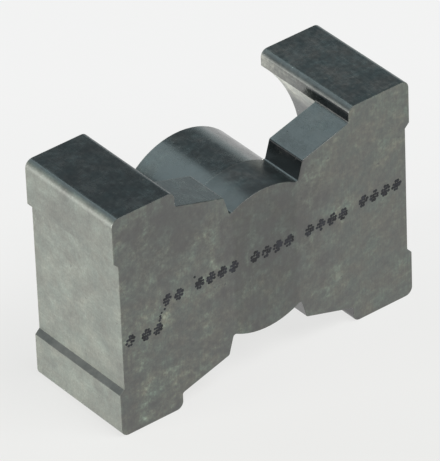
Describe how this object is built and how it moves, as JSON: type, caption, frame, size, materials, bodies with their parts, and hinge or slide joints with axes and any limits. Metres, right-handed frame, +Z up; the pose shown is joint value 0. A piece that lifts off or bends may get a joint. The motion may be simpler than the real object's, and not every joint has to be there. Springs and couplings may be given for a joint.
{
  "type": "pq ferrite core",
  "caption": "Half of a closed ferrite core: base with a waisted outline, round centre post, two outer legs with hollow inner sides and a shallow clip recess down each outer side.",
  "frame": {"origin": "under the middle of the core, on the surface that it stands on: halfway along X between the legs' outer sides and halfway along Y between the back face and the mating faces", "axes": "+X from leg to leg, +Y from the back face towards the mating faces, +Z up, across the core's width, standing on the narrow sides of both legs"},
  "size_m": [0.0206, 0.0076, 0.0143],
  "materials": {
    "ferrite": "matt sintered, dark grey"
  },
  "bodies": {
    "root": {"core_half": "ferrite"}
  },
  "joints": []
}
